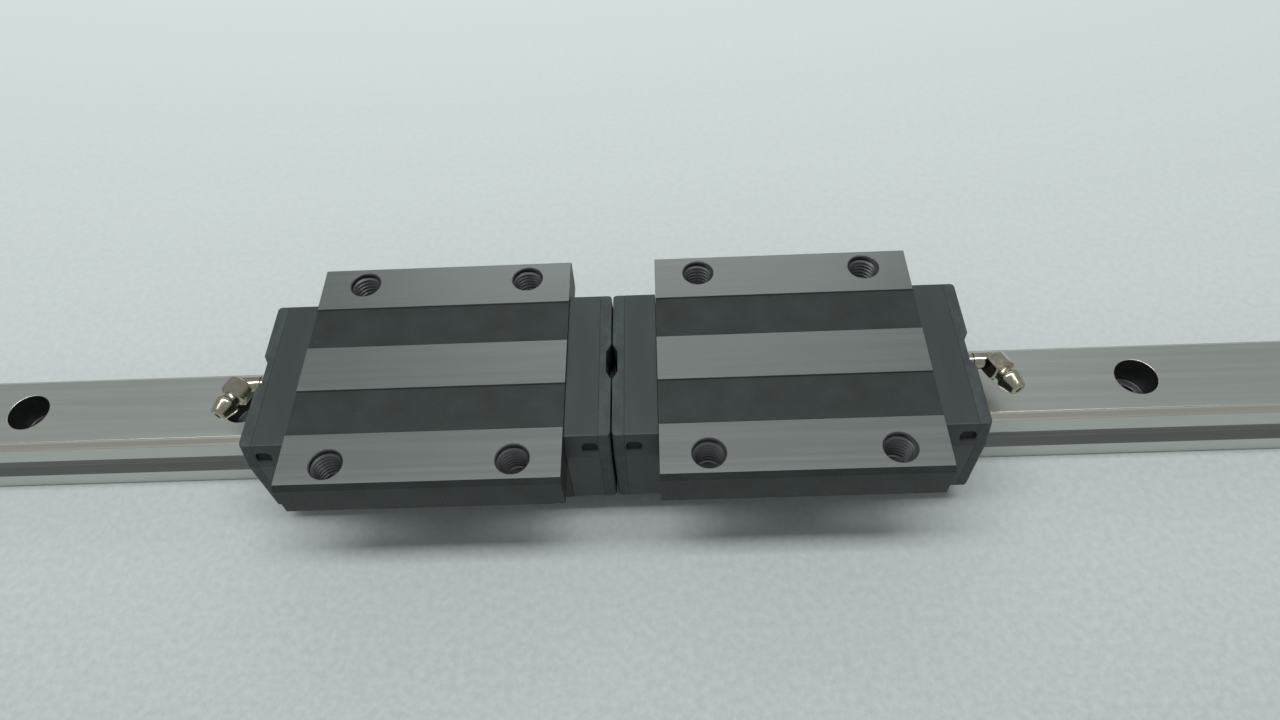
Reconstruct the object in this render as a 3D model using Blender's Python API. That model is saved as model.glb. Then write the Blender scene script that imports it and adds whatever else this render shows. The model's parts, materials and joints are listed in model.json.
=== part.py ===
"""Profile rail guide: one rail with two flanged ball carriages butted end to end.

The rail runs along X and stands on Z = 0, centred on the origin. Each carriage slides on
the rail along X. Lengths in the constants are millimetres; meshes are built in metres.
"""

import math

import bmesh
import bpy
from mathutils import Vector

MM = 0.001
GAP = 0.3  # clearance between pieces that touch in the real guide
HOLE_SIDES, PORT_SIDES, SMALL_SIDES = 16, 12, 8  # sides of the round shapes, large to small

# rail
RAIL_LENGTH = 450.0
RAIL_HALF_WIDTH = 11.5
RAIL_HEIGHT = 20.5
WAIST_HALF_WIDTH = 9.8
WAIST_BOTTOM = 8.2
FOOT_TOP = 5.8
FOOT_CHAMFER = 0.5
HOLE_PITCH = 60.0
HOLE_COUNT = 8
RAIL_HOLE_RADIUS = 3.5
COUNTERBORE_RADIUS = 5.5
COUNTERBORE_DEPTH = 9.0

# balls: centres of the loaded rows and of their return rows, for +Y
GROOVE_RADIUS = 2.3
BALL_ROW_RADIUS = 1.95
UPPER_LOADED = (12.1, 21.0)
UPPER_RETURN = (17.9, 26.8)
LOWER_LOADED = (12.1, 10.9)
LOWER_RETURN = (20.0, 12.6)
TURN_STEPS = 5

# carriage
JUNCTION_X = 11.7  # the plane where the two carriages meet at rest
CARRIAGE_SPACING = 91.85
BLOCK_HALF_LENGTH = 34.3
BLOCK_TOP = 36.0
RECESS_DEPTH = 0.4
CENTRE_STRIP = 6.8
OUTER_STRIP = 20.0
FLANGE_HALF_WIDTH = 35.0
FLANGE_CHAMFER = 1.15
FLANGE_UNDERSIDE = 24.3
BODY_HALF_WIDTH = 24.0
BLOCK_BOTTOM = 6.8
STRIP_BEVEL, FLANGE_EDGE, FLANGE_FILLET, LEG_CHAMFER = 0.3, 0.6, 1.0, 1.2
LEG_HALF_WIDTH = 12.5
RIB_HALF_WIDTH = 12.1
BOLT_X, BOLT_Y = 22.5, 28.5
BOLT_HOLE_RADIUS = 3.4
BOLT_MOUTH_RADIUS = 4.25

# carriage ends, as distances from the carriage's middle
CAP_START = BLOCK_HALF_LENGTH + GAP
CAP_POCKET_END = 37.6
CAP_END = 42.7
SEAL_START = CAP_END + GAP
SEAL_END = 45.7
SEAL_WEB = 0.8  # what is left of the seal under a screw head
SEAL_CORNER = 1.0  # chamfer on the seal's upright outer edges
CAP_TOP = 35.0
CAP_TOP_HALF_WIDTH = 22.2
CAP_SHOULDER = 28.0
CAP_BOTTOM, CAP_CHAMFER = 6.9, 1.3
CAP_RAIL_GAP = 0.9
LIP_RAIL_GAP = 0.35
NOTCH_X, NOTCH_WIDTH = 40.5, 4.0
NOTCH_LOW, NOTCH_HIGH, NOTCH_DEPTH = 29.2, 32.6, 1.0
SCREW_SPOTS = {"upper": (12.8, 29.2), "lower": (19.0, 20.2)}
SCREW_RADIUS, SCREW_HEAD_RADIUS = 1.5, 2.6
PORT_Z, PORT_RADIUS, SEAL_PORT_RADIUS = 30.0, 3.1, 3.3
CHANNEL_DEPTH, CHANNEL_BOTTOM = 1.25, 24.5  # slant-sided channel in the seal, open at the top
CHANNEL_FLOOR_HALF, CHANNEL_MOUTH_HALF = 3.2, 5.6
PLATE_CORNERS = ((22.9, 7.9), (22.9, 26.8), (20.9, 32.4))  # the return plate's, for +Y

# strips along the rail, as (y, z) outlines for +Y
UPPER_RETAINER = [(8.6, 21.9), (8.9, 20.95), (9.75, 20.95), (9.82, 21.3), (10.15, 22.25), (10.85, 22.97)]
LOWER_RETAINER = [(11.1, 6.95), (12.2, 6.95), (12.2, 8.6), (11.3, 8.72), (10.55, 9.2),
                  (10.15, 9.2), (10.15, 8.35), (11.1, 7.12)]
BOTTOM_SEAL = [(11.62, 5.9), (15.6, 5.9), (15.6, 6.5), (12.0, 6.5), (11.62, 6.3)]

# cap screw
HEAD_HEIGHT, SOCKET_RADIUS, SOCKET_DEPTH = 1.3, 1.2, 0.8
HEAD_CHAMFER = 0.3
SCREW_REACH = 6.0  # length of thread in the block
PLUG_SOCKET_RADIUS, PLUG_SOCKET_DEPTH = 1.3, 1.8

# grease nipple: the elbow turns the head sideways
ELBOW_X = 52.0
ELBOW_ANGLE = math.radians(65.0)
STEM_RADIUS, THREAD_RADIUS, THREAD_CHAMFER = 2.2, 2.75, 0.4
THREAD_START, THREAD_END = CAP_POCKET_END + 0.6, CAP_END - 0.3
HEX_START, HEX_END, HEX_RADIUS, HEX_CHAMFER = -0.4, 4.6, 3.75, 0.6
NECK_START, NECK_END, FLARE_END, CROWN_END, TAPER_END = 2.0, 5.6, 6.4, 7.0, 9.7
NECK_RADIUS, HEAD_RADIUS = 2.35, 3.2
BORE_RADIUS, MOUTH_RADIUS, TIP_RADIUS = 1.35, 0.85, 1.7
BORE_BOTTOM, MOUTH_START, HEAD_TIP = 4.9, 9.9, 10.5
CHECK_BALL_RADIUS, CHECK_BALL_AT = 1.05, 8.7
SPRING_START, SPRING_END, SPRING_TURNS = 5.25, 7.1, 3
SPRING_COIL_RADIUS, SPRING_WIRE_RADIUS = 0.92, 0.16

MATERIALS = {  # colour, roughness, metallic
    "rail_steel": ((0.42, 0.43, 0.44), 0.30, 1.0),
    "block_steel": ((0.09, 0.10, 0.11), 0.45, 0.8),
    "cap_plastic": ((0.035, 0.045, 0.055), 0.45, 0.0),
    "plate_plastic": ((0.55, 0.56, 0.52), 0.50, 0.0),
    "seal_rubber": ((0.02, 0.02, 0.022), 0.60, 0.0),
    "retainer_plastic": ((0.70, 0.70, 0.66), 0.45, 0.0),
    "ball_steel": ((0.62, 0.63, 0.65), 0.12, 1.0),
    "screw_steel": ((0.16, 0.16, 0.17), 0.35, 1.0),
    "nipple_nickel": ((0.62, 0.58, 0.50), 0.22, 1.0),
    "spring_steel": ((0.50, 0.50, 0.52), 0.30, 1.0),
}


# ---------------------------------------------------------------- tools

def clear_scene():
    for obj in list(bpy.data.objects):
        bpy.data.objects.remove(obj, do_unlink=True)


def material(slot, node):
    """A material of the slot's finish for one node."""
    colour, roughness, metallic = MATERIALS[slot]
    result = bpy.data.materials.new(f"{slot}_{node}")
    result.use_nodes = True
    shader = result.node_tree.nodes["Principled BSDF"]
    shader.inputs["Base Color"].default_value = (*colour, 1.0)
    shader.inputs["Roughness"].default_value = roughness
    shader.inputs["Metallic"].default_value = metallic
    return result


def as_object(name, bm):
    """Turn a bmesh in millimetres into an object in metres."""
    bmesh.ops.recalc_face_normals(bm, faces=bm.faces)
    bmesh.ops.scale(bm, vec=(MM, MM, MM), verts=bm.verts)
    mesh = bpy.data.meshes.new(name)
    bm.to_mesh(mesh)
    bm.free()
    obj = bpy.data.objects.new(name, mesh)
    bpy.context.scene.collection.objects.link(obj)
    return obj


def sweep(bm, lower, upper):
    """Join two equal closed outlines with sides and close both ends."""
    rings = [[bm.verts.new(point) for point in ring] for ring in (lower, upper)]
    count = len(lower)
    for i in range(count):
        j = (i + 1) % count
        bm.faces.new((rings[0][i], rings[0][j], rings[1][j], rings[1][i]))
    bm.faces.new(rings[0][::-1])
    bm.faces.new(rings[1])


def add_prism(bm, outline, start, end):
    """An outline of (y, z) points drawn along X."""
    sweep(bm, [(start, y, z) for y, z in outline], [(end, y, z) for y, z in outline])


def circle(radius, centre=(0.0, 0.0), sides=16):
    step = 2.0 * math.pi / sides
    return [(centre[0] + radius * math.cos((i + 0.5) * step),
             centre[1] + radius * math.sin((i + 0.5) * step)) for i in range(sides)]


def arc(centre, radius, first, last, steps):
    """Points on an arc in the YZ plane; angles in degrees from +Y towards +Z."""
    angles = [math.radians(first + (last - first) * i / steps) for i in range(steps + 1)]
    return [(centre[0] + radius * math.cos(a), centre[1] + radius * math.sin(a)) for a in angles]


def add_upright(bm, radii, heights, x, y, sides):
    """A stack of rings about a vertical axis: one radius for each height."""
    rings = [[bm.verts.new((px, py, z)) for px, py in circle(r, (x, y), sides)]
             for r, z in zip(radii, heights)]
    add_ring_walls(bm, rings, closed=False)


def add_ring_walls(bm, rings, closed):
    """Quads between rings of vertices; the ends are capped unless the rings form a loop."""
    pairs = list(zip(rings, rings[1:]))
    if closed:
        pairs.append((rings[-1], rings[0]))
    sides = len(rings[0])
    for low, high in pairs:
        for i in range(sides):
            j = (i + 1) % sides
            bm.faces.new((low[i], low[j], high[j], high[i]))
    if not closed:
        bm.faces.new(rings[0][::-1])
        bm.faces.new(rings[-1])


def add_turned(bm, profile, origin, axis, sides):
    """Turn a profile of (distance along the axis, radius) points about an axis.

    The profile runs from axis to axis, so its first and last radius are zero.
    """
    axis = Vector(axis).normalized()
    across = axis.orthogonal().normalized()
    other = axis.cross(across)
    origin = Vector(origin)
    first = bm.verts.new(origin + axis * profile[0][0])
    last = bm.verts.new(origin + axis * profile[-1][0])
    rings = [[bm.verts.new(origin + axis * along + across * cy + other * cz)
              for cy, cz in circle(radius, sides=sides)] for along, radius in profile[1:-1]]
    for low, high in zip(rings, rings[1:]):
        for i in range(sides):
            j = (i + 1) % sides
            bm.faces.new((low[i], low[j], high[j], high[i]))
    for i in range(sides):
        j = (i + 1) % sides
        bm.faces.new((first, rings[0][j], rings[0][i]))
        bm.faces.new((last, rings[-1][i], rings[-1][j]))


def combine(target, tool, operation="DIFFERENCE"):
    """Apply a Boolean of the tool object to the target and remove the tool."""
    modifier = target.modifiers.new("combine", "BOOLEAN")
    modifier.operation = operation
    modifier.solver = "EXACT"
    modifier.object = tool
    graph = bpy.context.evaluated_depsgraph_get()
    result = bpy.data.meshes.new_from_object(target.evaluated_get(graph))
    target.modifiers.remove(modifier)
    target.data = result
    bpy.data.objects.remove(tool, do_unlink=True)


def smooth(obj, degrees=35.0):
    obj.data.shade_smooth()
    obj.data.set_sharp_from_angle(angle=math.radians(degrees))


# ---------------------------------------------------------------- outlines

def mirrored(half):
    """Close a +Y half outline, listed from its low end to its high end, with its mirror."""
    other = [(-y, z) for y, z in reversed(half) if y > 1e-6]
    return half + other


def rail_side(gap):
    """The rail's +Y side from the waist up, grown outwards by a gap."""
    radius = GROOVE_RADIUS - gap
    to_side = UPPER_LOADED[0] - RAIL_HALF_WIDTH - gap
    to_top = UPPER_LOADED[1] - RAIL_HEIGHT - gap
    side = math.degrees(math.acos(to_side / radius))
    top = math.degrees(math.asin(to_top / radius))
    lower = arc(LOWER_LOADED, radius, 180.0, 180.0 - side, 3)
    upper = arc(UPPER_LOADED, radius, 180.0 + side, 180.0 + top, 4)
    return lower + upper


def rail_slant(gap):
    """The slanting shoulder between foot and waist, grown by a gap."""
    rise = 0.42 * gap
    return [(RAIL_HALF_WIDTH + gap, FOOT_TOP + rise), (WAIST_HALF_WIDTH + gap, WAIST_BOTTOM + rise)]


def rail_outline():
    foot = [(RAIL_HALF_WIDTH - FOOT_CHAMFER, 0.0), (RAIL_HALF_WIDTH, FOOT_CHAMFER)]
    return mirrored(foot + rail_slant(0.0) + rail_side(0.0))


def rail_opening(gap, bottom):
    """The +Y half of an opening that clears the rail, from its bottom edge to its top."""
    (low_y, low_z), (high_y, high_z) = rail_slant(gap)
    if bottom < high_z:
        share = (bottom - low_z) / (high_z - low_z)
        start = [(low_y + share * (high_y - low_y), bottom), (high_y, high_z)]
    else:
        start = [(high_y, bottom)]
    return start + rail_side(gap)


def block_outline():
    """Flanged body with its rail channel open at the bottom."""
    recess = BLOCK_TOP - RECESS_DEPTH
    top = [
        (CENTRE_STRIP, BLOCK_TOP), (CENTRE_STRIP + STRIP_BEVEL, recess),
        (OUTER_STRIP - STRIP_BEVEL, recess), (OUTER_STRIP, BLOCK_TOP),
        (FLANGE_HALF_WIDTH - FLANGE_CHAMFER, BLOCK_TOP),
        (FLANGE_HALF_WIDTH, BLOCK_TOP - FLANGE_CHAMFER),
    ]
    flange = [(FLANGE_HALF_WIDTH, FLANGE_UNDERSIDE + FLANGE_EDGE),
              (FLANGE_HALF_WIDTH - FLANGE_EDGE, FLANGE_UNDERSIDE)]
    corner = (BODY_HALF_WIDTH + FLANGE_FILLET, FLANGE_UNDERSIDE - FLANGE_FILLET)
    fillet = arc(corner, FLANGE_FILLET, 90.0, 180.0, 3)
    leg = [(BODY_HALF_WIDTH, BLOCK_BOTTOM + LEG_CHAMFER), (BODY_HALF_WIDTH - LEG_CHAMFER, BLOCK_BOTTOM),
           (LEG_HALF_WIDTH, BLOCK_BOTTOM)]
    lower = arc(LOWER_LOADED, GROOVE_RADIUS, -80.0, 75.0, 5)
    rib = [(RIB_HALF_WIDTH, lower[-1][1] + 0.5),
           (RIB_HALF_WIDTH, UPPER_LOADED[1] - GROOVE_RADIUS + 0.08 - 0.5)]
    upper = arc(UPPER_LOADED, GROOVE_RADIUS, -75.0, 99.0, 6)
    return mirrored(top + flange + fillet + leg + lower + rib + upper)


def end_outline(opening_gap, inset=0.0):
    """The end cap's and end seal's outline round the rail, with its sides moved in by inset."""
    outside = [(CAP_TOP_HALF_WIDTH, CAP_TOP), (BODY_HALF_WIDTH, CAP_SHOULDER),
               (BODY_HALF_WIDTH, CAP_BOTTOM + CAP_CHAMFER), (BODY_HALF_WIDTH - CAP_CHAMFER, CAP_BOTTOM)]
    outside = [(y - inset, z) for y, z in outside]
    return mirrored(outside + rail_opening(opening_gap, CAP_BOTTOM))


# ---------------------------------------------------------------- rail

def build_rail():
    bm = bmesh.new()
    add_prism(bm, rail_outline(), -RAIL_LENGTH / 2.0, RAIL_LENGTH / 2.0)
    rail = as_object("rail", bm)
    cutter = bmesh.new()
    shelf = RAIL_HEIGHT - COUNTERBORE_DEPTH
    for i in range(HOLE_COUNT):
        x = (i - (HOLE_COUNT - 1) / 2.0) * HOLE_PITCH
        radii = (RAIL_HOLE_RADIUS, RAIL_HOLE_RADIUS, COUNTERBORE_RADIUS, COUNTERBORE_RADIUS)
        add_upright(cutter, radii, (-1.0, shelf, shelf, RAIL_HEIGHT + 1.0), x, 0.0, HOLE_SIDES)
    combine(rail, as_object("rail_holes", cutter))
    return rail


# ---------------------------------------------------------------- carriage pieces

def loop_rings(bm, loaded, back, radius, sides):
    """A closed ball track: two straight rows joined by a half turn at each end."""
    loaded, back = Vector((0.0, *loaded)), Vector((0.0, *back))
    middle = (loaded + back) / 2.0
    outward = back - middle
    turn = outward.length
    outward.normalize()
    normal = Vector((1.0, 0.0, 0.0)).cross(outward)
    rings = []
    for end in (1.0, -1.0):
        for i in range(TURN_STEPS + 1):
            angle = math.pi * (i / TURN_STEPS - 0.5) * end
            radial = Vector((end * math.cos(angle), 0.0, 0.0)) + outward * math.sin(angle)
            centre = middle + Vector((end * BLOCK_HALF_LENGTH, 0.0, 0.0)) + radial * turn
            rings.append([bm.verts.new(centre + radial * cy + normal * cz)
                          for cy, cz in circle(radius, sides=sides)])
    add_ring_walls(bm, rings, closed=True)


def build_block():
    bm = bmesh.new()
    add_prism(bm, block_outline(), -BLOCK_HALF_LENGTH, BLOCK_HALF_LENGTH)
    block = as_object("block", bm)
    cutter = bmesh.new()
    for x in (-BOLT_X, BOLT_X):
        for y in (-BOLT_Y, BOLT_Y):
            mouth = BOLT_MOUTH_RADIUS - BOLT_HOLE_RADIUS
            radii = (BOLT_MOUTH_RADIUS + 1.0, BOLT_HOLE_RADIUS, BOLT_HOLE_RADIUS, BOLT_MOUTH_RADIUS + 1.0)
            heights = (FLANGE_UNDERSIDE - 1.0, FLANGE_UNDERSIDE + mouth,
                       BLOCK_TOP - mouth, BLOCK_TOP + 1.0)
            add_upright(cutter, radii, heights, x, y, HOLE_SIDES)
    for side in (-1.0, 1.0):
        for y, z in (UPPER_RETURN, LOWER_RETURN):
            add_prism(cutter, circle(GROOVE_RADIUS, (side * y, z), SMALL_SIDES),
                      -BLOCK_HALF_LENGTH - 1.0, BLOCK_HALF_LENGTH + 1.0)
        for y, z in SCREW_SPOTS.values():
            for end in (-1.0, 1.0):
                add_prism(cutter, circle(SCREW_RADIUS + GAP, (side * y, z), SMALL_SIDES),
                          end * (BLOCK_HALF_LENGTH - 7.0), end * (BLOCK_HALF_LENGTH + 1.0))
    combine(block, as_object("block_holes", cutter))
    return block


def turn_channels():
    """Cutter for the four ball turns of one end."""
    bm = bmesh.new()
    for side in (-1.0, 1.0):
        for loaded, back in ((UPPER_LOADED, UPPER_RETURN), (LOWER_LOADED, LOWER_RETURN)):
            rows = [(side * y, z) for y, z in (loaded, back)]
            loop_rings(bm, *rows, GROOVE_RADIUS, SMALL_SIDES)
    return as_object("turn_channels", bm)


def screw_holes(start, end, radius):
    bm = bmesh.new()
    for side in (-1.0, 1.0):
        for y, z in SCREW_SPOTS.values():
            add_prism(bm, circle(radius, (side * y, z), SMALL_SIDES), start, end)
    return as_object("screw_holes", bm)


def build_end_cap():
    bm = bmesh.new()
    add_prism(bm, end_outline(CAP_RAIL_GAP), CAP_START, CAP_END)
    cap = as_object("end_cap", bm)
    pocket = bmesh.new()
    corners = [(y + GAP, z + math.copysign(GAP, z - CAP_TOP / 2.0)) for y, z in PLATE_CORNERS]
    add_prism(pocket, mirrored(corners), CAP_START - 1.0, CAP_POCKET_END)
    combine(cap, as_object("pocket", pocket))
    combine(cap, turn_channels())
    combine(cap, screw_holes(CAP_START - 1.0, CAP_END + 1.0, SCREW_RADIUS + GAP))
    port = bmesh.new()
    add_prism(port, circle(PORT_RADIUS, (0.0, PORT_Z), PORT_SIDES), CAP_START, CAP_END + 1.0)
    combine(cap, as_object("port", port))
    combine(cap, side_notches())
    return cap


def side_notches():
    """A shallow rectangular notch in each slanting shoulder of an end cap."""
    bm = bmesh.new()
    low, high = NOTCH_X - NOTCH_WIDTH / 2.0, NOTCH_X + NOTCH_WIDTH / 2.0
    slope = (BODY_HALF_WIDTH - CAP_TOP_HALF_WIDTH) / (CAP_TOP - CAP_SHOULDER)
    for side in (-1.0, 1.0):
        floor = BODY_HALF_WIDTH - NOTCH_DEPTH
        inner = [(floor - slope * (z - CAP_SHOULDER), z) for z in (NOTCH_LOW, NOTCH_HIGH)]
        outer = [(BODY_HALF_WIDTH + 1.0, z) for z in (NOTCH_HIGH, NOTCH_LOW)]
        add_prism(bm, [(side * y, z) for y, z in inner + outer], low, high)
    return as_object("side_notches", bm)


def build_return_plate():
    bm = bmesh.new()
    opening = rail_opening(CAP_RAIL_GAP + GAP, PLATE_CORNERS[0][1])
    outline = mirrored(list(reversed(PLATE_CORNERS)) + opening)
    add_prism(bm, outline, CAP_START, CAP_POCKET_END - GAP)
    plate = as_object("return_plate", bm)
    combine(plate, turn_channels())
    combine(plate, screw_holes(CAP_START - 1.0, CAP_POCKET_END + 1.0, SCREW_RADIUS + GAP))
    return plate


def build_end_seal():
    """The lipped wiper plate on the outside of an end cap."""
    bm = bmesh.new()
    sections = ((SEAL_START, 0.0), (SEAL_END - SEAL_CORNER, 0.0), (SEAL_END, SEAL_CORNER))
    rings = [[bm.verts.new((x, y, z)) for y, z in end_outline(LIP_RAIL_GAP, inset)] for x, inset in sections]
    add_ring_walls(bm, rings, closed=False)
    seal = as_object("end_seal", bm)
    combine(seal, screw_holes(SEAL_START - 1.0, SEAL_END + 1.0, SCREW_RADIUS + GAP))
    combine(seal, screw_holes(SEAL_START + SEAL_WEB, SEAL_END + 1.0, SCREW_HEAD_RADIUS + 0.4))
    port = bmesh.new()
    add_prism(port, circle(SEAL_PORT_RADIUS, (0.0, PORT_Z), PORT_SIDES), SEAL_START - 1.0, SEAL_END + 1.0)
    combine(seal, as_object("seal_port", port))
    combine(seal, seal_channel())
    return seal


def seal_channel():
    """Slant-sided channel down the seal's face, where the nipple comes out."""
    bm = bmesh.new()
    floor, mouth = SEAL_END - CHANNEL_DEPTH, SEAL_END + 0.1
    outline = [(floor, -CHANNEL_FLOOR_HALF), (mouth, -CHANNEL_MOUTH_HALF),
               (mouth, CHANNEL_MOUTH_HALF), (floor, CHANNEL_FLOOR_HALF)]
    sweep(bm, *[[(x, y, z) for x, y in outline] for z in (CHANNEL_BOTTOM, CAP_TOP + 1.0)])
    return as_object("seal_channel", bm)


def build_upper_retainer():
    """Thin plate over the rail that holds both upper ball rows."""
    bm = bmesh.new()
    add_prism(bm, mirrored(UPPER_RETAINER), -BLOCK_HALF_LENGTH, BLOCK_HALF_LENGTH)
    return as_object("upper_retainer", bm)


def build_lower_retainer():
    """Strip under a lower ball row, between the block's leg and the rail's waist."""
    bm = bmesh.new()
    add_prism(bm, LOWER_RETAINER, -BLOCK_HALF_LENGTH, BLOCK_HALF_LENGTH)
    return as_object("lower_retainer", bm)


def build_bottom_seal():
    """Wiper strip under a leg; its lip reaches the rail's foot."""
    bm = bmesh.new()
    add_prism(bm, BOTTOM_SEAL, -CAP_END, CAP_END)
    return as_object("bottom_seal", bm)


def build_ball_row(loaded, back):
    """The closed circuit of balls, as the solid that the row fills."""
    bm = bmesh.new()
    loop_rings(bm, loaded, back, BALL_ROW_RADIUS, SMALL_SIDES)
    return as_object("ball_row", bm)


def build_screw():
    """Cap screw along X with its head at +X; the origin is under the head."""
    bm = bmesh.new()
    length = SEAL_START + SEAL_WEB + GAP - (BLOCK_HALF_LENGTH - SCREW_REACH)
    floor = HEAD_HEIGHT - SOCKET_DEPTH
    profile = [(-length, 0.0), (-length, SCREW_RADIUS), (0.0, SCREW_RADIUS), (0.0, SCREW_HEAD_RADIUS),
               (HEAD_HEIGHT, SCREW_HEAD_RADIUS - HEAD_CHAMFER), (HEAD_HEIGHT, SOCKET_RADIUS),
               (floor, SOCKET_RADIUS), (floor, 0.0)]
    add_turned(bm, profile, (0.0, 0.0, 0.0), (1.0, 0.0, 0.0), SMALL_SIDES)
    return as_object("screw", bm)


def build_port_plug():
    """Blanking screw for an unused grease port, along X."""
    bm = bmesh.new()
    floor = CAP_END - PLUG_SOCKET_DEPTH
    profile = [(THREAD_START, 0.0), (THREAD_START, THREAD_RADIUS), (CAP_END, THREAD_RADIUS),
               (CAP_END, PLUG_SOCKET_RADIUS), (floor, PLUG_SOCKET_RADIUS), (floor, 0.0)]
    add_turned(bm, profile, (0.0, 0.0, 0.0), (1.0, 0.0, 0.0), SMALL_SIDES)
    return as_object("port_plug", bm)


# ---------------------------------------------------------------- grease nipple

def head_axis():
    """Direction of the nipple's head, away from the elbow."""
    return Vector((math.cos(ELBOW_ANGLE), -math.sin(ELBOW_ANGLE), 0.0))


def build_nipple():
    """Elbow grease nipple; X = 0 is the carriage's middle and Z = 0 the port's axis."""
    elbow = (ELBOW_X, 0.0, 0.0)
    hexagon = bmesh.new()
    edge = HEX_RADIUS - HEX_CHAMFER
    profile = [(HEX_START, 0.0), (HEX_START, edge), (HEX_START + HEX_CHAMFER, HEX_RADIUS),
               (HEX_END - HEX_CHAMFER, HEX_RADIUS), (HEX_END, edge), (HEX_END, 0.0)]
    add_turned(hexagon, profile, elbow, head_axis(), 6)
    nipple = as_object("nipple", hexagon)
    stem = bmesh.new()
    profile = [(THREAD_START, 0.0), (THREAD_START, THREAD_RADIUS - THREAD_CHAMFER),
               (THREAD_START + THREAD_CHAMFER, THREAD_RADIUS), (THREAD_END, THREAD_RADIUS),
               (CAP_END, STEM_RADIUS), (ELBOW_X, STEM_RADIUS), (ELBOW_X, 0.0)]
    add_turned(stem, profile, (0.0, 0.0, 0.0), (1.0, 0.0, 0.0), PORT_SIDES)
    combine(nipple, as_object("stem", stem), "UNION")
    head = bmesh.new()
    profile = [(NECK_START, 0.0), (NECK_START, NECK_RADIUS), (NECK_END, NECK_RADIUS),
               (FLARE_END, HEAD_RADIUS), (CROWN_END, HEAD_RADIUS), (TAPER_END, NECK_RADIUS),
               (HEAD_TIP, TIP_RADIUS), (HEAD_TIP, MOUTH_RADIUS), (MOUTH_START, MOUTH_RADIUS),
               (MOUTH_START, BORE_RADIUS), (BORE_BOTTOM, BORE_RADIUS), (BORE_BOTTOM, 0.0)]
    add_turned(head, profile, elbow, head_axis(), PORT_SIDES)
    combine(nipple, as_object("head", head), "UNION")
    return nipple


def build_check_ball():
    bm = bmesh.new()
    bmesh.ops.create_icosphere(bm, subdivisions=2, radius=CHECK_BALL_RADIUS)
    return as_object("check_ball", bm)


def build_check_spring():
    """Coil spring behind the check ball, about the head's axis from the elbow."""
    bm = bmesh.new()
    axis = head_axis()
    across = axis.orthogonal().normalized()
    other = axis.cross(across)
    steps = SPRING_TURNS * 6
    rings = []
    for i in range(steps + 1):
        angle = 2.0 * math.pi * SPRING_TURNS * i / steps
        along = SPRING_START + (SPRING_END - SPRING_START) * i / steps
        radial = across * math.cos(angle) + other * math.sin(angle)
        centre = Vector((ELBOW_X, 0.0, 0.0)) + axis * along + radial * SPRING_COIL_RADIUS
        rings.append([bm.verts.new(centre + radial * cy + axis * cz)
                      for cy, cz in circle(SPRING_WIRE_RADIUS, sides=4)])
    add_ring_walls(bm, rings, closed=False)
    return as_object("check_spring", bm)


# ---------------------------------------------------------------- assembly

def carriage_shapes():
    """One shape of each carriage piece; the carriages share their meshes."""
    shapes = {
        "block": build_block(), "end_cap": build_end_cap(), "end_seal": build_end_seal(),
        "return_plate": build_return_plate(), "upper_retainer": build_upper_retainer(),
        "lower_retainer": build_lower_retainer(), "bottom_seal": build_bottom_seal(),
        "upper_balls": build_ball_row(UPPER_LOADED, UPPER_RETURN),
        "lower_balls": build_ball_row(LOWER_LOADED, LOWER_RETURN),
        "screw": build_screw(), "plug": build_port_plug(), "nipple": build_nipple(),
        "check_ball": build_check_ball(), "check_spring": build_check_spring(),
    }
    meshes = {}
    for name, obj in shapes.items():
        smooth(obj)
        meshes[name] = obj.data
        bpy.data.objects.remove(obj, do_unlink=True)
    return meshes


def place(name, shape, slot, parent, location=(0.0, 0.0, 0.0), turn=(0.0, 0.0, 0.0)):
    """One node: its own copy of a shape, on its carriage's empty."""
    obj = bpy.data.objects.new(name, shape.copy())
    obj.data.name = name
    obj.data.materials.clear()
    obj.data.materials.append(material(slot, name))
    obj.location = [value * MM for value in location]
    obj.rotation_euler = turn
    obj.parent = parent
    bpy.context.scene.collection.objects.link(obj)
    return obj


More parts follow.
